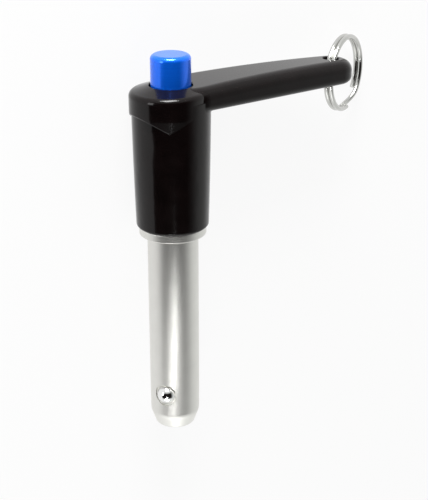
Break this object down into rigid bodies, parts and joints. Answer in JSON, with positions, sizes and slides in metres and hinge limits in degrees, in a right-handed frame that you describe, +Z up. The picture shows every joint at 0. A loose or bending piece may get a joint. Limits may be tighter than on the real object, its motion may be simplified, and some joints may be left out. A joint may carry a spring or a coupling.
{
  "type": "ball lock pin",
  "caption": "Quick release pin with an L handle: pressing the button lets the locking balls drop into the shank, and letting go holds them out behind the work.",
  "frame": {"origin": "on the pin axis, in the plane of the shoulder that seats on the work", "axes": "+Y along the pin axis from the nose to the button, +X along the handle's arm, +Z up, with the pin lying on its side"},
  "size_m": [0.0752, 0.0976, 0.019],
  "materials": {
    "handle_black": "black anodised, semi-gloss",
    "shank_steel": "turned and ground, satin",
    "button_blue": "blue anodised, semi-gloss",
    "spindle_steel": "turned",
    "spring_steel": "drawn wire",
    "ball_steel": "polished",
    "ring_steel": "bright wire"
  },
  "bodies": {
    "body": {"handle": "handle_black", "shank": "shank_steel", "spring": "spring_steel"},
    "plunger": {"button": "button_blue", "spindle": "spindle_steel"},
    "ball_1": {"ball_1": "ball_steel"},
    "ball_2": {"ball_2": "ball_steel"},
    "split_ring": {"split_ring": "ring_steel"}
  },
  "joints": [
    {"name": "button_press", "type": "slide", "parent": "body", "child": "plunger", "axis": [0, -1, 0], "range_m": [0, 0.0045], "stiffness_N_per_m": 1450, "springref_m": -0.003, "deforming": ["spring"]},
    {"name": "ball_1_slide", "type": "slide", "parent": "body", "child": "ball_1", "axis": [0.8192, 0, -0.5736], "range_m": [0, 0.00135]},
    {"name": "ball_2_slide", "type": "slide", "parent": "body", "child": "ball_2", "axis": [-0.8192, 0, 0.5736], "range_m": [0, 0.00135]},
    {"name": "ring_swing", "type": "hinge", "parent": "body", "child": "split_ring", "pos_m": [0.048, 0.03408, 0], "axis": [0, 1, 0], "range_deg": [-175, 121]}
  ],
  "couplings": [
    {"joint": "ball_1_slide", "follows": "button_press", "ratio": 0.29889},
    {"joint": "ball_2_slide", "follows": "button_press", "ratio": 0.29889}
  ]
}
